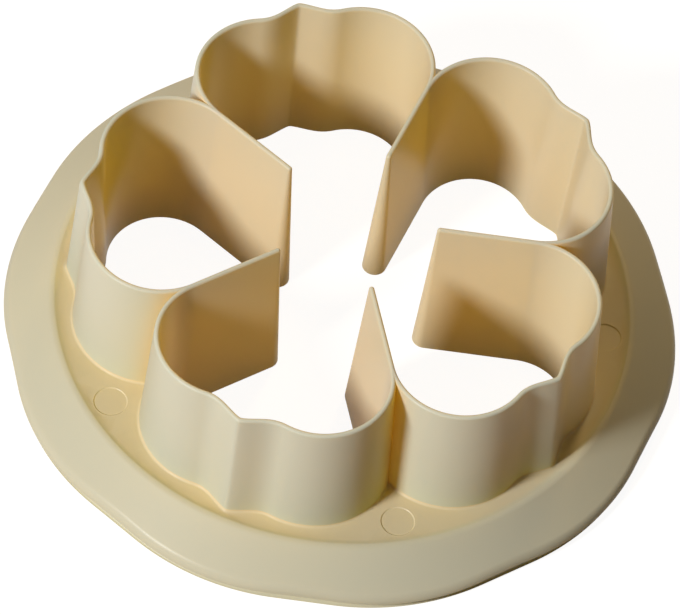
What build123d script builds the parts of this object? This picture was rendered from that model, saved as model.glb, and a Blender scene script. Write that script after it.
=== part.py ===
"""Open five-petal flower cutter for sugar paste and pastry, in moulded plastic.

It stands on its flange with the cutting edge up. Millimetres, +Z up, with the origin at the
centre of the underside. Every wall widens downwards by one draft angle, so that the moulding
leaves its mould, and each region of the moulding is its own solid.
"""

import os
from math import atan2, cos, hypot, pi, radians, sin, sqrt, tan

from build123d import *

os.makedirs("parts", exist_ok=True)

# Whole cutter
petal_count = 5
height = 22.0
draft_angle = 3.0
overrun = 1.0

# Cutting edge
edge_width = 0.6
edge_bevel = 0.14

# Petal outline, measured on the outer side of the cutting edge: two round lobes and a tip
tip_radius = 32.0
lobe_radius = 8.45
lobe_setback = 10.8
shoulder_angle = -5.5
flank_angle = 20.0

# Blades between the petals
blade_length = 11.4

# Flange, nearly round with two soft sides to each petal, and the recessed floor inside it
flange_side_count = 2 * petal_count
flange_width = 7.45
flange_corner_radius = 29.0
rim_height = 2.2
rim_round = 1.1
foot_round = 0.3
lip_height = 5.2
lip_width = 1.2
lip_round = 0.3
slope_round = 3.0
recess_depth = 0.55
tip_clearance = 0.35

# Round marks that the ejector pins leave on the recessed floor
mark_radius = 2.0
mark_depth = 0.12
mark_margin = 0.15

# Directions in one petal's own plane, whose X axis runs out through the tip
half_sector = pi / petal_count
flank = radians(flank_angle)
shoulder = radians(shoulder_angle)
sector_line = Vector(cos(half_sector), sin(half_sector))
sector_normal = Vector(sin(half_sector), -cos(half_sector))
flank_line = Vector(sin(flank), -cos(flank))

# Each lobe lies against the blade beside it, so that their inner faces run on into each other
blade_root_radius = tip_radius - lobe_setback
blade_nose_radius = blade_root_radius - blade_length + edge_width / 2
lobe_to_blade = lobe_radius - edge_width / 2
lobe_centre = sector_line * blade_root_radius + sector_normal * lobe_to_blade


def growth(z):
    """How far each drafted face has moved out from its place at the cutting edge."""
    return (height - z) * tan(radians(draft_angle))


# Heights of the sections that the walls are lofted through, with how far each face moves out
bevel_start = height - edge_bevel
levels = [(0, growth(0)), (bevel_start, growth(bevel_start)), (height, -edge_bevel)]


def petal_plane(index, z):
    """The plane of one petal at a height, its X axis out through the tip."""
    return Plane.XY.rotated((0, 0, (index + 0.5) * 360 / petal_count)).offset(z)


def blade_plane(index, z):
    """The plane of one blade at a height, its X axis out along the blade."""
    return Plane.XY.rotated((0, 0, index * 360 / petal_count)).offset(z)


def bend(centre, radius, start, end):
    """An arc about a centre, from one angle to another."""
    places = [centre + Vector(cos(a), sin(a)) * radius for a in (start, (start + end) / 2, end)]
    return ThreePointArc(*places)


def half_outline(start, offset):
    """Half of a petal's outline, moved out by offset, from an angle on the lobe to the tip."""
    lobe = bend(lobe_centre, lobe_radius + offset, start, shoulder)
    Spline(lobe @ 1, (tip_radius + offset / cos(flank), 0), tangents=(lobe % 1, flank_line))


def notch(offset):
    """The point between two petals where their lobes, moved out by offset, meet."""
    past_root = sqrt((lobe_radius + offset) ** 2 - lobe_to_blade**2)
    return sector_line * (blade_root_radius + past_root)


def outer_half(offset):
    """Half of a petal's outer outline, from the point between two petals to the tip."""
    from_centre = notch(offset) - lobe_centre
    half_outline(atan2(from_centre.Y, from_centre.X), offset)


def wall_section(plane, swell):
    """Section of one petal's wall, each face moved out by swell."""
    root = sector_line * blade_root_radius
    with BuildSketch(plane) as section:
        with BuildLine():
            outer_half(swell)
            Line(notch(swell), root)
            Line(root, root + sector_normal * (edge_width / 2 + swell))
            half_outline(half_sector + pi / 2, -edge_width - swell)
            mirror(about=Plane.XZ)
        make_face()
    return section.sketch


def petal_section(plane, swell):
    """Section of one whole petal out to its outer face, with the hollow inside it."""
    with BuildSketch(plane) as section:
        with BuildLine():
            outer_half(swell)
            Line(notch(swell), (0, 0))
            mirror(about=Plane.XZ)
        make_face()
    return section.sketch


def blade_section(plane, swell):
    """Section of one blade, with a full round at its free end."""
    half = edge_width / 2 + swell
    with BuildSketch(plane) as section:
        with BuildLine():
            side = Line((blade_root_radius, half), (blade_nose_radius, half))
            nose = ThreePointArc(side @ 1, (blade_nose_radius - half, 0), (blade_nose_radius, -half))
            Line(nose @ 1, (blade_root_radius, -half))
            Line((blade_root_radius, -half), side @ 0)
        make_face()
    return section.sketch


def flange_section(z):
    """Outline of the flange at a height, with a soft corner outside each blade and each tip."""
    inset = z * tan(radians(draft_angle))
    with BuildSketch(Plane.XY.offset(z)) as section:
        RegularPolygon(flange_radius - inset, flange_side_count, major_radius=False)
        fillet(section.vertices(), radius=flange_corner_radius - inset)
    return section.sketch


def edges_beyond(part, radius):
    """The edges of a part whose middles lie further out than a radius."""
    middles = [(edge, edge.position_at(0.5)) for edge in part.edges()]
    return ShapeList(edge for edge, middle in middles if hypot(middle.X, middle.Y) > radius)


# Flange: a turned cone with a recessed top, cut to its outline and away where the petals stand
with BuildPart() as grip_flange:
    floor_height = lip_height - recess_depth
    recess_radius = tip_radius + growth(floor_height) / cos(flank) + tip_clearance
    slope_radius = recess_radius + lip_width
    flange_radius = tip_radius + flange_width
    toe_radius = slope_radius + (flange_radius - slope_radius) * lip_height / (lip_height - rim_height)
    lip_draft = recess_depth * tan(radians(draft_angle))
    with BuildSketch(Plane.XZ) as profile:
        with BuildLine():
            Polyline(
                (blade_root_radius, 0),
                (toe_radius, 0),
                (slope_radius, lip_height),
                (recess_radius, lip_height),
                (recess_radius - lip_draft, floor_height),
                (blade_root_radius, floor_height),
                close=True,
            )
        make_face()
        lip, slope = profile.vertices().group_by(Axis.Y)[-1].sort_by(Axis.X)
        for corner, size in ((slope, slope_round), (lip, lip_round)):
            fillet(corner, radius=size)
    revolve(axis=Axis.Z)
    loft([flange_section(z) for z in (0, lip_height + overrun)], ruled=True, mode=Mode.INTERSECT)
    outer = edges_beyond(grip_flange, slope_radius + overrun)
    lying = outer.filter_by(lambda edge: edge.bounding_box().size.Z < rim_height / 2)
    fillet(lying - lying.group_by(Axis.Z)[0], radius=rim_round)
    fillet(edges_beyond(grip_flange, slope_radius + overrun).group_by(Axis.Z)[0], radius=foot_round)
    for petal in range(petal_count):
        cut_levels = (-overrun, lip_height + overrun)
        sections = [petal_section(petal_plane(petal, z), growth(z)) for z in cut_levels]
        loft(sections, ruled=True, mode=Mode.SUBTRACT)
    with BuildSketch(Plane.XY.offset(floor_height)):
        with PolarLocations(recess_radius - mark_margin - mark_radius, petal_count):
            Circle(mark_radius)
    extrude(amount=-mark_depth, mode=Mode.SUBTRACT)
grip_flange.part.label = "grip_flange"
export_step(grip_flange.part, "parts/grip_flange.step")

# Petal walls: the outer half of each petal, from one junction round the tip to the next
for petal in range(petal_count):
    with BuildPart() as petal_wall:
        loft([wall_section(petal_plane(petal, z), swell) for z, swell in levels], ruled=True)
    petal_wall.part.label = f"petal_wall_{petal + 1}"
    export_step(petal_wall.part, f"parts/petal_wall_{petal + 1}.step")

# Divider blades: one between each two petals, from their junction to a free end by the centre
for blade in range(petal_count):
    with BuildPart() as divider_blade:
        loft([blade_section(blade_plane(blade, z), swell) for z, swell in levels], ruled=True)
    divider_blade.part.label = f"divider_blade_{blade + 1}"
    export_step(divider_blade.part, f"parts/divider_blade_{blade + 1}.step")

print(f"flower {2 * tip_radius:.1f} mm across its tips, {height:.1f} mm high")
print(f"flange {2 * (tip_radius + flange_width):.1f} mm across its sides, blades {blade_length:.1f} mm long")
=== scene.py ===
# %% [markdown]
# # An open flower cutter in moulded plastic
#
# A flower cutter stamps petals out of sugar paste. This one stands with its cutting edge up. It is one
# injection moulding: a wide round flange that the palm presses on, five thin walls that each cut one
# petal, and five blades that part the petals. Nothing on it moves.
#
# The solid model comes in as a frame, and every piece made here stands where the frame says.

# %% Load the frame
import math

import bpy
import numpy as np
from mathutils import Matrix, Vector
from mathutils.geometry import delaunay_2d_cdt


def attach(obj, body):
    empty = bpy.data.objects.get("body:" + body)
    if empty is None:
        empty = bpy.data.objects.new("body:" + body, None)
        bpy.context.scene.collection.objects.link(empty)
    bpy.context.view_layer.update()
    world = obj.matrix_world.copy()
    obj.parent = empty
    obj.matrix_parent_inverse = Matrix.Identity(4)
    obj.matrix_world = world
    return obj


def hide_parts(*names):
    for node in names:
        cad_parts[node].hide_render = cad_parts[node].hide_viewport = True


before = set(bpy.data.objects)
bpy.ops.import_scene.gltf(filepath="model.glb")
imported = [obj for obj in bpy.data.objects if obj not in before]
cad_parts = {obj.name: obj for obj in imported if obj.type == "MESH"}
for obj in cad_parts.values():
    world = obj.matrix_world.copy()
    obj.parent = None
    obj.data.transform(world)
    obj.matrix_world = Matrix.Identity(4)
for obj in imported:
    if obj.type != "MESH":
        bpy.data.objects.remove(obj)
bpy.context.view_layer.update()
print("solid model:", sorted(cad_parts))

# %% [markdown]
# ## The camera
#
# The photograph was taken from a good way off, at a little over 50 degrees above the table, and the
# camera was tilted a few degrees to one side. A long lens far away gives the same flat perspective.
# I build the camera's own three directions first and write them into its matrix, because the tilt is
# then one plain rotation and no aiming constraint has to be undone.

# %% Camera
camera_elevation = math.radians(54.43)
camera_tilt = math.radians(7.40)
camera_turn = math.radians(0.20)
camera_distance = 0.71143
camera_shift = (0.00005, 0.00227)
frame_width_px = 680
focal_length_px = 6000

towards_camera = Vector((0, -math.cos(camera_elevation), math.sin(camera_elevation)))
level_right = Vector((1, 0, 0))
level_up = towards_camera.cross(level_right)
right = math.cos(camera_tilt) * level_right + math.sin(camera_tilt) * level_up
up = math.cos(camera_tilt) * level_up - math.sin(camera_tilt) * level_right

axes = Matrix((right, up, towards_camera)).transposed()
axes = Matrix.Rotation(camera_turn, 3, "Z") @ axes
place = axes @ Vector((*camera_shift, camera_distance))

camera = bpy.data.objects.new("camera", bpy.data.cameras.new("camera"))
camera.matrix_world = Matrix.Translation(place) @ axes.to_4x4()
camera.data.lens = focal_length_px * camera.data.sensor_width / frame_width_px
camera.data.clip_start = 0.05
bpy.context.scene.collection.objects.link(camera)
bpy.context.scene.camera = camera
print(f"camera {place.length:.3f} m from the cutter, lens {camera.data.lens:.0f} mm")

# %% [markdown]
# ## Sizes
#
# These are the moulding's own sizes in millimetres, the same as in the solid model, apart from the floor
# inside the lip. It lies a quarter of a millimetre higher here, so that the step down to it stays soft.
# Everything is worked out in millimetres and turned into metres at the last moment, when a mesh is made.

# %% Sizes in millimetres
petal_count = 5
height = 22.0
draft = math.radians(3.0)
edge_width = 0.6

tip_radius = 32.0
lobe_radius = 8.45
lobe_setback = 10.8
shoulder = math.radians(-5.5)
flank = math.radians(20.0)
blade_length = 11.4

flange_radius = 39.45
flange_side_count = 10
flange_corner_radius = 29.0
rim_height = 2.2
lip_height = 5.2
lip_width = 1.2
floor_height = 4.9
tip_clearance = 0.35
mark_radius = 2.0
mark_margin = 0.15

half_sector = math.pi / petal_count
blade_root = tip_radius - lobe_setback
blade_nose = blade_root - blade_length + edge_width / 2


def growth(z):
    """How far a drafted face has moved out from its place at the cutting edge."""
    return (height - z) * math.tan(draft)


recess_radius = tip_radius + growth(floor_height) / math.cos(flank) + tip_clearance
print(f"recess {recess_radius:.2f} mm, walls {edge_width + 2 * growth(0):.2f} mm thick at the foot")

# %% [markdown]
# ## The outline of a petal
#
# Each petal is two round lobes and a soft tip. A lobe is an arc that leaves the blade beside it without a
# corner. From its shoulder a curve runs on to the tip with a slight hollow, which is what makes it a petal
# and not a plain scallop. A mesh circle or a Bezier object could draw it, but a function can also draw it
# at any distance outside or inside, and the wall needs that at every height.
#
# A real mould is cut with a round tool, so the crest of the tip is softened by a few tenths of a
# millimetre.

# %% One petal's outline, in its own plane with the tip on the X axis
sector_line = np.array((math.cos(half_sector), math.sin(half_sector)))
sector_normal = np.array((math.sin(half_sector), -math.cos(half_sector)))
lobe_to_blade = lobe_radius - edge_width / 2
lobe_centre = sector_line * blade_root + sector_normal * lobe_to_blade
tip_softness = 0.2
curve_pull = 1.17
lobe_points, side_points = 44, 30
crowding = 1.15


def along_curve(start, start_way, end, end_way, count):
    """Points on a smooth curve that leaves start one way and reaches end the other way."""
    pull = curve_pull * np.linalg.norm(end - start)
    t = np.linspace(0, 1, count)[:, None]
    near, far = 2 * t**3 - 3 * t**2 + 1, 3 * t**2 - 2 * t**3
    leave, arrive = t**3 - 2 * t**2 + t, t**3 - t**2
    return near * start + leave * pull * start_way + far * end + arrive * pull * end_way


def notch(offset):
    """Where two neighbouring petals, moved out by offset, meet."""
    past_root = math.sqrt((lobe_radius + offset) ** 2 - lobe_to_blade**2)
    return sector_line * (blade_root + past_root)


def half_outline(offset, start):
    """From an angle on the lobe to the tip, for an outline moved out by offset."""
    angles = start + (shoulder - start) * np.linspace(0, 1, lobe_points) ** crowding
    ways = np.stack((np.cos(angles), np.sin(angles)), 1)
    lobe = lobe_centre + (lobe_radius + offset) * ways
    lobe_way = np.array((math.sin(shoulder), -math.cos(shoulder)))
    tip = np.array((tip_radius + offset / math.cos(flank), 0))
    tip_way = np.array((math.sin(flank), -math.cos(flank)))
    side = along_curve(lobe[-1], lobe_way, tip, tip_way, side_points)[1:]
    points = np.concatenate((lobe, side))
    across = np.abs(points[:, 1])
    points[:, 0] -= math.tan(flank) * (np.hypot(across, tip_softness) - across)
    return points


def whole_outline(offset, start):
    """Both halves of the outline, from one side of the petal round the tip to the other."""
    half = half_outline(offset, start)
    return np.concatenate((half, half[-2::-1] * (1, -1)))


def outer_outline(offset):
    """The outer face of a petal's wall, from one notch round the tip to the next."""
    to_notch = notch(offset) - lobe_centre
    return whole_outline(offset, math.atan2(to_notch[1], to_notch[0]))


def inner_outline(offset):
    """The inner face of a petal's wall, from one blade round the tip to the next."""
    return whole_outline(-edge_width - offset, half_sector + math.pi / 2)


print(f"{len(outer_outline(0))} points round each face of a petal")

# %% [markdown]
# ## The cutting edge
#
# Every wall and blade leans out by 3 degrees from the edge down, so that the moulding leaves its mould,
# and the edge itself is a round, 0.6 mm wide, with next to no flat on top. The round is drawn as arcs of
# one circle that the leaning face runs into, so there is no line between them. Lofting the outline
# through these levels gives the wall. A bevel modifier could round the edge too, but it slips where the
# wall is as thin as the bevel is wide.

# %% Heights of the sections, with how far each face stands out from its place at the edge
edge_round = edge_width / 2 / (math.cos(draft) - math.tan(draft) * (1 - math.sin(draft)))
edge_centre = height - edge_round
face_levels, edge_levels = 8, 9
edge_end = math.radians(84)
face_top = edge_centre + edge_round * math.sin(draft)
levels = [(z, growth(z)) for z in np.linspace(0, face_top, face_levels + 1)[:-1]]

# Painted shade on the inside of a wall at each level, a warmer ivory that stands in for the shade in the
# hollow: full at the foot, and hardly any on the edge.
painted_shade_levels = [1 - 0.5 * z / height for z, _ in levels]
for turn in np.linspace(draft, edge_end, edge_levels):
    z = edge_centre + edge_round * math.sin(turn)
    levels.append((z, edge_round * math.cos(turn) - edge_width / 2))
    painted_shade_levels.append(0.5 * math.cos(turn))
print(f"edge round {edge_round:.3f} mm, {len(levels)} levels")

# %% [markdown]
# ## Turning sections into a mesh
#
# A stack of loops with equal numbers of points becomes a skin of four-sided faces, which shades evenly
# and can be read at a glance. The first and last loops are closed with lids that the caller describes.

# %% Mesh helpers
smooth_below = math.radians(30)
pieces = []


def skin(loops):
    """Vertices and side faces of a stack of closed loops of equal length."""
    count = len(loops[0])
    faces = []
    for level in range(len(loops) - 1):
        for i in range(count):
            j = (i + 1) % count
            low, high = level * count, (level + 1) * count
            faces.append((low + i, low + j, high + j, high + i))
    return np.concatenate(loops), faces


def at_height(points, z):
    """Flat points, lifted to a height."""
    return np.column_stack((points, np.full(len(points), z)))


def turned(points, angle):
    """Points turned about the cutter's axis."""
    c, s = math.cos(angle), math.sin(angle)
    x, y, z = points.T
    return np.column_stack((c * x - s * y, s * x + c * y, z))


def make_piece(name, vertices, faces, painted_shade_amounts, stands_for):
    """A smooth-shaded piece of the moulding in metres, in place of one node of the frame."""
    mesh = bpy.data.meshes.new(name)
    mesh.from_pydata((vertices / 1000).tolist(), [], faces)
    # Each point carries its amount of painted shade, which the plastic turns into a deeper, warmer ivory.
    mesh.attributes.new("painted_shade", "FLOAT", "POINT").data.foreach_set("value", painted_shade_amounts)
    mesh.validate()
    piece = bpy.data.objects.new(name, mesh)
    bpy.context.scene.collection.objects.link(piece)
    bpy.context.view_layer.objects.active = piece
    piece.select_set(True)
    bpy.ops.object.mode_set(mode="EDIT")
    bpy.ops.mesh.select_all(action="SELECT")
    bpy.ops.mesh.normals_make_consistent(inside=False)
    bpy.ops.object.mode_set(mode="OBJECT")
    bpy.ops.object.shade_smooth_by_angle(angle=smooth_below)
    piece.select_set(False)
    even = piece.modifiers.new("even shading", "WEIGHTED_NORMAL")
    even.keep_sharp = True
    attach(piece, "root")
    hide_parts(stands_for)
    pieces.append(piece)
    print(f"{name}: {len(mesh.vertices)} vertices, {len(mesh.polygons)} faces")


# %% [markdown]
# ## Petal walls
#
# A petal wall is the thin wall that cuts one petal, from the root of one blade round the tip to the root
# of the next. Its section is the outer outline, the inner outline, and a small three-cornered foot at
# each end where it joins its neighbour and the blade. One section is a strip that can be closed face by
# face, because the two outlines have the same number of points.

# %% Petal walls
notch_reach = 2.2


def wall_section(offset):
    """Outer face, root, inner face and root again, as one loop."""
    root = sector_line * blade_root
    outer, inner = outer_outline(offset), inner_outline(offset)
    return np.concatenate((outer, [root * (1, -1)], inner[::-1], [root]))


def wall_lid(first, count):
    """Faces that close a wall section, each from the outer points to the inner ones across from them."""
    side = (count - 2) // 2
    last = first + count - 2
    faces = [(first + i, first + i + 1, last - i - 1, last - i) for i in range(side - 1)]
    faces.append((first, last, last + 1))
    faces.append((first + side - 1, first + side, first + side + 1))
    return faces


def wall_painted_shade(offset, within):
    """How much painted shade each point of a wall section gets: within on the inner face, and less outside
    it.

    Outside, only the last millimetres before a notch get painted shade, for the shade of the neighbouring
    wall.
    """
    outer = outer_outline(offset)
    from_notch = np.minimum(*(np.linalg.norm(outer - end, axis=1) for end in (outer[0], outer[-1])))
    outside = np.exp(-((from_notch / notch_reach) ** 2)) * min(1, 2 * within)
    return np.concatenate((outside, [within] * (len(outer) + 2)))


wall_painted_shade_points = np.concatenate(
    [wall_painted_shade(offset, within) for (_, offset), within in zip(levels, painted_shade_levels)]
)
wall_loops = [at_height(wall_section(offset), z) for z, offset in levels]
wall_vertices, wall_faces = skin(wall_loops)
loop_length = len(wall_loops[0])
wall_faces += wall_lid(0, loop_length) + wall_lid(len(wall_vertices) - loop_length, loop_length)

for petal in range(petal_count):
    placed = turned(wall_vertices, (2 * petal + 1) * half_sector)
    node = f"petal_wall_{petal + 1}"
    make_piece(f"cutting_wall_{petal + 1}", placed, wall_faces, wall_painted_shade_points, node)

# %% [markdown]
# ## Divider blades
#
# A blade parts two petals and ends free near the middle, with a full round at its end. Its faces run on
# into the inner faces of the two walls beside it. It is lofted through the same heights as they are.

# %% Divider blades
blade_side_points, blade_nose_points = 11, 25


def blade_section(offset):
    """One side, the round free end and the other side, as one loop."""
    half = edge_width / 2 + offset
    side_x = np.linspace(blade_root, blade_nose, blade_side_points + 1)[:-1]
    turns = np.linspace(math.pi / 2, 3 * math.pi / 2, blade_nose_points)
    nose = np.stack((blade_nose + half * np.cos(turns), half * np.sin(turns)), 1)
    one_side = np.column_stack((side_x, np.full(len(side_x), half)))
    return np.concatenate((one_side, nose, one_side[::-1] * (1, -1)))


def blade_lid(first, count):
    """Faces that close a blade section, each across from one side to the other."""
    last, middle = first + count - 1, count // 2
    faces = [(first + i, first + i + 1, last - 1 - i, last - i) for i in range(middle - 1)]
    faces.append((first + middle - 1, first + middle, first + middle + 1))
    return faces


blade_loops = [at_height(blade_section(offset), z) for z, offset in levels]
blade_vertices, blade_faces = skin(blade_loops)
loop_length = len(blade_loops[0])
blade_faces += blade_lid(0, loop_length) + blade_lid(len(blade_vertices) - loop_length, loop_length)
# The blades carry the same painted shade as the walls, level by level: a warmer ivory toward the foot.
blade_painted_shade_points = np.repeat(painted_shade_levels, loop_length)

for blade in range(petal_count):
    placed = turned(blade_vertices, 2 * blade * half_sector)
    node = f"divider_blade_{blade + 1}"
    make_piece(f"parting_blade_{blade + 1}", placed, blade_faces, blade_painted_shade_points, node)

# %% [markdown]
# ## The grip flange
#
# The flange slopes up from a rounded rim to a low lip, and inside the lip lies a flat floor, a little
# deeper. It isn't quite round: its outline has ten flat sides with very soft corners, one outside each
# blade and each tip, which keep it from rolling and give the fingers a hold. The walls rise out of the
# floor with a small fillet, because plastic doesn't fill a sharp inner corner. On the floor, between each
# two petals, is the shallow round mark of an ejector pin, which pushes the moulding out of its mould.
#
# The rim and the slope are a profile that follows that outline round. The profile is written down as a
# few corners with the radius of each, as it would be on a drawing, and then turned into points.

# %% A profile with rounded corners
degrees_per_step = 9


def rounded(corners):
    """A run of (x, y, radius) corners as points, each one between the two ends drawn as an arc."""
    points = [np.array(corners[0][:2])]
    for before, corner, after in zip(corners, corners[1:], corners[2:]):
        here, radius = np.array(corner[:2]), corner[2]
        back = np.array(before[:2]) - here
        ahead = np.array(after[:2]) - here
        back, ahead = back / np.linalg.norm(back), ahead / np.linalg.norm(ahead)
        half_angle = math.acos(np.clip(back @ ahead, -1, 1)) / 2
        centre = here + (back + ahead) / np.linalg.norm(back + ahead) * radius / math.sin(half_angle)
        start = here + back * radius / math.tan(half_angle) - centre
        sweep = math.pi - 2 * half_angle
        turn = math.copysign(sweep, start[0] * ahead[1] - start[1] * ahead[0])
        for t in np.linspace(0, turn, 3 + int(math.degrees(sweep) / degrees_per_step)):
            c, s = math.cos(t), math.sin(t)
            points.append(centre + (c * start[0] - s * start[1], s * start[0] + c * start[1]))
    return np.array(points + [np.array(corners[-1][:2])])


slope_radius = recess_radius + lip_width
slope_fall = (lip_height - rim_height) / (flange_radius - slope_radius)
lip_draft = (lip_height - floor_height) * math.tan(draft)
# The step down to the floor is slanted, so that it shows as a soft band and not as a line.
lip_slant = 0.7
foot_round, rim_round, slope_round, lip_round = 0.4, 1.5, 1.3, 0.6
foot_margin = 1.2


def flange_reach(turn):
    """How far out the foot of the flange is at an angle: flat sides and soft corners between them."""
    half_side = math.pi / flange_side_count
    from_corner = abs((turn + half_side) % (2 * half_side) - half_side)
    centre = (flange_radius - flange_corner_radius) / math.cos(half_side)
    corner_x = centre + flange_corner_radius * math.cos(half_side)
    if from_corner > math.atan2(flange_corner_radius * math.sin(half_side), corner_x):
        return flange_radius / math.cos(half_side - from_corner)
    across = centre * math.sin(from_corner)
    return centre * math.cos(from_corner) + math.sqrt(flange_corner_radius**2 - across**2)


def flange_profile(reach):
    """The flange's section from foot to floor, where its foot is reach from the axis."""
    rim = (lip_height - (reach - slope_radius) * slope_fall) / (1 - math.tan(draft) * slope_fall)
    return rounded(
        [
            (reach - foot_margin, 0, 0),
            (reach, 0, foot_round),
            (reach - rim * math.tan(draft), rim, rim_round),
            (slope_radius, lip_height, slope_round),
            (recess_radius + lip_slant, lip_height, lip_round),
            (recess_radius - lip_draft, floor_height, 0),
        ]
    )


section_points = len(flange_profile(flange_radius))
print(f"flange {2 * flange_reach(0):.2f} mm across its corners, {section_points} points a section")

# %% [markdown]
# ### Rings of points
#
# The profile at each degree round the cutter, read level by level, gives the rings of the outside. The
# inside is the outline of the whole flower, which goes up the fillet and then down through the flange.

# %% Rings of the flange
wall_fillet = 0.3
fillet_steps = 7
bury = 0.03
ring_count = 360
ring_angles = np.arange(ring_count) * 2 * math.pi / ring_count
ring_ways = np.stack((np.cos(ring_angles), np.sin(ring_angles)), 1)


def flower(offset, z):
    """The outline of the whole flower, moved out by offset, as one loop."""
    petal = at_height(outer_outline(offset)[::-1][:-1], z)
    return np.concatenate([turned(petal, (2 * k + 1) * half_sector) for k in range(petal_count)])


def circle(centre, radius, z, count=48):
    """A round loop of points."""
    turns = np.arange(count) * 2 * math.pi / count
    ring = np.stack((np.cos(turns), np.sin(turns)), 1) * radius + centre
    return at_height(ring, z)


sections = np.array([flange_profile(flange_reach(a)) for a in ring_angles])
outside_loops = [
    np.column_stack((ring_ways * ring[:, :1], ring[:, 1])) for ring in sections.transpose(1, 0, 2)
]
# Inside, a fillet leads up to each wall. The skin then goes just under the wall's face, down to the foot.
inside_loops = []
for turn in np.linspace(0, math.pi / 2, fillet_steps):
    z = floor_height + wall_fillet * (1 - math.cos(turn))
    inside_loops.append(flower(growth(z) + wall_fillet * (1 - math.sin(turn)), z))
inside_loops.append(flower(growth(floor_height) - bury, floor_height))
inside_loops.append(flower(growth(0), 0))

mark_centres = [
    np.array((math.cos(a), math.sin(a))) * (recess_radius - mark_margin - mark_radius)
    for a in 2 * half_sector * np.arange(petal_count)
]
# Each mark's edge is slightly round: how far in from its rim, and how deep there.
mark_steps = [(0, 0), (0.03, 0.03), (0.09, 0.09), (0.16, 0.12)]
print(f"{len(outside_loops)} rings outside, {len(inside_loops)} inside, {len(mark_centres)} marks")

# %% [markdown]
# ### One mesh from the rings
#
# Rings that lie beside each other are joined by four-sided faces. The floor is flat with five petals and
# five marks cut out of it, and a constrained triangulation fills just that shape. Cutting a disc with
# Boolean modifiers would work too, and leaves a messier mesh.

# %% The flange
class Mesh:
    """Loops of points and the faces between them, gathered into one mesh."""

    def __init__(self):
        self.points, self.faces = [], []

    def add(self, loop):
        """Keeps a loop and gives the numbers of its points."""
        first = len(self.points)
        self.points.extend(map(tuple, loop))
        return list(range(first, len(self.points)))

    def join(self, low, high):
        """Four-sided faces between two loops of equal length."""
        for i in range(len(low)):
            j = (i + 1) % len(low)
            self.faces.append((low[i], low[j], high[j], high[i]))

    def fill(self, outside, holes):
        """Triangles of the flat region inside one loop and outside the others."""
        numbers = sum([outside, *holes], [])
        flat = [Vector(self.points[i][:2]) for i in numbers]
        edges, first = [], 0
        for loop in (outside, *holes):
            edges += [(first + i, first + (i + 1) % len(loop)) for i in range(len(loop))]
            first += len(loop)
        found, _, triangles, *_ = delaunay_2d_cdt(flat, edges, [], 0, 1e-6)
        walls = [np.array([self.points[i][:2] for i in loop]) for loop in (outside, *holes)]
        for triangle in triangles:
            x, y = sum((found[i] for i in triangle), Vector((0, 0))) / 3
            if inside(walls[0], x, y) and not any(inside(w, x, y) for w in walls[1:]):
                self.faces.append(tuple(numbers[i] for i in triangle))


def inside(loop, x, y):
    """Whether a point is inside a closed loop."""
    x0, y0 = loop.T
    x1, y1 = np.roll(loop, -1, 0).T
    crosses = (y0 > y) != (y1 > y)
    with np.errstate(divide="ignore", invalid="ignore"):
        at = x0 + (y - y0) * (x1 - x0) / (y1 - y0)
    return bool(np.count_nonzero(crosses & (x < at)) % 2)


flange = Mesh()
outside_rings = [flange.add(loop) for loop in outside_loops]
inside_rings = [flange.add(loop) for loop in inside_loops]
for rings in (outside_rings, inside_rings):
    for low, high in zip(rings, rings[1:]):
        flange.join(low, high)

mark_rims = []
for centre in mark_centres:
    steps = [circle(centre, mark_radius - inward, floor_height - depth) for inward, depth in mark_steps]
    rings = [flange.add(loop) for loop in steps]
    for low, high in zip(rings, rings[1:]):
        flange.join(low, high)
    flange.faces.append(tuple(rings[-1]))
    mark_rims.append(rings[0])

flange.fill(outside_rings[-1], [inside_rings[0], *mark_rims])
flange.fill(outside_rings[0], [inside_rings[-1]])

# The flange gets part of the painted shade, as its thicker plastic makes its ivory a shade deeper than on
# the walls' outsides, and the recessed floor gets more, a painted warm glow for the light the walls around
# it throw back.
flange_painted_shade, floor_painted_shade = 0.6, 0.9
flange_points = np.array(flange.points)
from_axis = np.hypot(flange_points[:, 0], flange_points[:, 1])
ring_painted_shade = np.where(from_axis < recess_radius + bury, floor_painted_shade, flange_painted_shade)
make_piece("grip_ring", flange_points, flange.faces, ring_painted_shade, "grip_flange")

# %% [markdown]
# ## The plastic
#
# The cutter is a lightly tinted plastic such as polypropylene or ABS, moulded in a satin mould, which
# gives it a soft shine. Light falls on it and comes back ivory, and what passes through a thin wall comes
# out amber, which is why the insides glow. Blender can do that with subsurface scattering, but that stops
# at the border of each object and would draw dark seams where the pieces meet. A Translucent shader mixed
# with the Principled one carries the light through each face instead, and shows no seam.
#
# Colours are written as hex values, as a paint program shows them, and one function makes them linear.

# %% Colour and node helpers
def linear(hex_colour):
    """An sRGB hex colour as the linear numbers that a shader takes."""
    parts = [int(hex_colour[i : i + 2], 16) / 255 for i in (1, 3, 5)]
    return [p / 12.92 if p <= 0.04045 else ((p + 0.055) / 1.055) ** 2.4 for p in parts] + [1]


def add_node(tree, kind, settings=None, **inputs):
    """Adds a node, sets its properties, and sets or links each named input."""
    node = tree.nodes.new(kind)
    for name, value in (settings or {}).items():
        setattr(node, name, value)
    for name, value in inputs.items():
        socket = node.inputs[int(name[1:])] if name[1:].isdigit() else node.inputs[name.replace("_", " ")]
        if isinstance(value, bpy.types.NodeSocket):
            tree.links.new(value, socket)
        else:
            socket.default_value = value
    return node


print(f"middle grey #808080 is {linear('#808080')[0]:.3f} in linear light")

# %% [markdown]
# ### Moulded ivory plastic
#
# One colour isn't enough for it. Where a face is open to the room it looks a pale, cool ivory. Where other
# faces keep the room's light off it, light reaches it through and off more plastic and it looks deeper and
# warmer; that deeper, warmer ivory is painted in as shade, by the amount each point carries.

# %% Moulded ivory plastic
mm = 0.001
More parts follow.
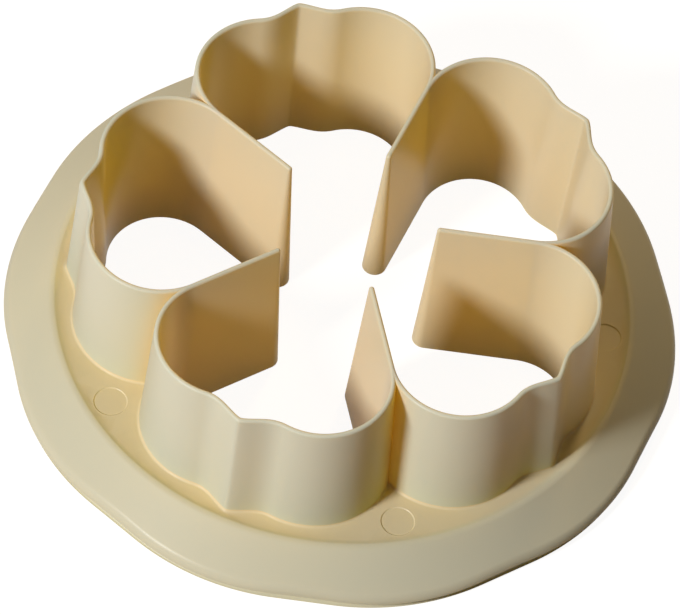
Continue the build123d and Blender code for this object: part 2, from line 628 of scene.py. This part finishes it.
# Pale ivory where nothing is shaded, and a warmer one that is painted in as shade.
ivory_open = linear("#e9f5e6")
ivory_painted_shade = linear("#fdedc6")
ivory_again = linear("#fdec68")
amber_through = linear("#fcdf2f")

plastic = bpy.data.materials.new("moulded_ivory_plastic")
plastic.use_nodes = True
tree = plastic.node_tree
tree.nodes.clear()

position = add_node(tree, "ShaderNodeTexCoord").outputs["Object"]
# The points that the meshes carry with painted shade get a deeper ivory, as inside the petals: painted
# shade for the hollows. Light that passes from face to face loses some of its blue each time, so it sees a
# deeper ivory still.
painted_shade = add_node(tree, "ShaderNodeAttribute", {"attribute_name": "painted_shade"}).outputs["Fac"]
colour_with_painted_shade = add_node(
    tree, "ShaderNodeMix", {"data_type": "RGBA"},
    i0=painted_shade, i6=ivory_open, i7=ivory_painted_shade,
)
bounced = add_node(tree, "ShaderNodeLightPath").outputs["Is Diffuse Ray"]
body_colour = add_node(
    tree, "ShaderNodeMix", {"data_type": "RGBA"},
    i0=bounced, i6=colour_with_painted_shade.outputs[2], i7=ivory_again,
)

# The mould's fine satin texture, drawn at 0.5 mm because the real one is too fine to show.
satin = add_node(tree, "ShaderNodeTexNoise", None, Vector=position, Scale=1 / (0.5 * mm), Detail=3.0)
# Slow hollows of a few millimetres, where the plastic sank a little as it cooled.
sink = add_node(tree, "ShaderNodeTexNoise", None, Vector=position, Scale=1 / (9 * mm), Detail=1.0)
roughness = add_node(tree, "ShaderNodeMapRange", None, Value=satin.outputs[0], i3=0.27, i4=0.37)
sunk = add_node(tree, "ShaderNodeBump", None, Strength=0.25, Distance=0.15 * mm, Height=sink.outputs[0])
surface = add_node(
    tree, "ShaderNodeBump", None,
    Strength=0.12, Distance=0.01 * mm, Height=satin.outputs[0], Normal=sunk.outputs[0],
)

front = add_node(
    tree, "ShaderNodeBsdfPrincipled", None,
    Base_Color=body_colour.outputs[2], Roughness=roughness.outputs[0], Normal=surface.outputs[0],
    IOR=1.5, Specular_IOR_Level=0.22,
)
through = add_node(tree, "ShaderNodeBsdfTranslucent", None, Color=amber_through, Normal=surface.outputs[0])
both = add_node(tree, "ShaderNodeMixShader", None, Fac=0.36, i1=front.outputs[0], i2=through.outputs[0])
add_node(tree, "ShaderNodeOutputMaterial", None, Surface=both.outputs[0])

for piece in pieces:
    piece.data.materials.append(plastic)
print(f"{plastic.name} on {len(pieces)} pieces")

# %% [markdown]
# ## The table
#
# The photograph has a plain white ground. The floor gives the camera most of its white directly, and the
# rest comes from the lamps, so the shadow of the cutter still shows as a soft grey. To every other ray
# the floor is a muted paper, so that it doesn't flood the cutter with light from below.

# %% Floor
def add_seen(tree):
    """1 for rays that show the ground as such: from the camera, off a gloss or through clear things."""
    ray = add_node(tree, "ShaderNodeLightPath").outputs
    # Light that soaks through the plastic is both transmitted and diffuse, and mustn't find a bright floor.
    less, greater = {"operation": "SUBTRACT"}, {"operation": "MAXIMUM"}
    clear = add_node(tree, "ShaderNodeMath", less, i0=ray["Is Transmission Ray"], i1=ray["Is Diffuse Ray"])
    seen = add_node(tree, "ShaderNodeMath", greater, i0=ray["Is Camera Ray"], i1=ray["Is Glossy Ray"])
    either = add_node(tree, "ShaderNodeMath", greater, i0=seen.outputs[0], i1=clear.outputs[0])
    return either.outputs[0]


floor_mesh = bpy.data.meshes.new("table_top")
half_width = 3.0
table_corners = [(half_width * x, half_width * y, 0) for x, y in ((-1, -1), (1, -1), (1, 1), (-1, 1))]
floor_mesh.from_pydata(table_corners, [], [(0, 1, 2, 3)])
floor = bpy.data.objects.new("table_top", floor_mesh)
bpy.context.scene.collection.objects.link(floor)

paper = bpy.data.materials.new("white_paper")
paper.use_nodes = True
tree = paper.node_tree
tree.nodes.clear()
seen = add_seen(tree)
muted_paper = (0.22, 0.20, 0.17, 1)
lit = add_node(tree, "ShaderNodeBsdfDiffuse", None, Color=muted_paper)
glow = add_node(tree, "ShaderNodeEmission", None, Strength=0.93)
white = add_node(tree, "ShaderNodeAddShader", None, i0=lit.outputs[0], i1=glow.outputs[0])
ground = add_node(tree, "ShaderNodeMixShader", None, Fac=seen, i1=lit.outputs[0], i2=white.outputs[0])
add_node(tree, "ShaderNodeOutputMaterial", None, Surface=ground.outputs[0])
floor_mesh.materials.append(paper)
print("floor", 2 * half_width, "m wide")

# %% [markdown]
# ## The light
#
# The shading in the photograph says where the light was: the left side of every wall is bright, the right
# side of the flange is dark, and the walls throw quite crisp shadows into the petals. That is one lamp of
# modest size to the left of the camera, and a weak warm one from behind for what the room throws back.
# A sun lamp would give crisp shadows too, but a round area lamp also gives its highlights soft edges.

# %% Lamps and world
lamp_width = 0.15
lamp_distance = 0.75


def soft_lamp(name, side, rise, watts, colour=(1, 1, 1)):
    """A round lamp aimed at the cutter, from a direction round it and a rise above the table in degrees."""
    light = bpy.data.lights.new(name, "AREA")
    light.shape, light.size, light.energy, light.color = "DISK", lamp_width, watts, colour
    lamp = bpy.data.objects.new(name, light)
    a, e = math.radians(side), math.radians(rise)
    way = Vector((math.cos(e) * math.cos(a), math.cos(e) * math.sin(a), math.sin(e)))
    lamp.location = lamp_distance * way
    lamp.rotation_euler = way.to_track_quat("Z", "Y").to_euler()
    bpy.context.scene.collection.objects.link(lamp)
    print(name, f"{watts} W")


soft_lamp("key_lamp", 223, 37, 5.2)
soft_lamp("warm_fill", 75, 35, 1.7, (1.0, 0.75, 0.4))

world = bpy.data.worlds.new("studio")
bpy.context.scene.world = world
world.use_nodes = True
tree = world.node_tree
tree.nodes.clear()
seen = add_seen(tree)
room = add_node(tree, "ShaderNodeBackground", None, Strength=0.06)
backdrop = add_node(tree, "ShaderNodeBackground", None, Strength=1.0)
sky = add_node(tree, "ShaderNodeMixShader", None, Fac=seen, i1=room.outputs[0], i2=backdrop.outputs[0])
add_node(tree, "ShaderNodeOutputWorld", None, Surface=sky.outputs[0])
bpy.context.scene.view_settings.view_transform = "Standard"
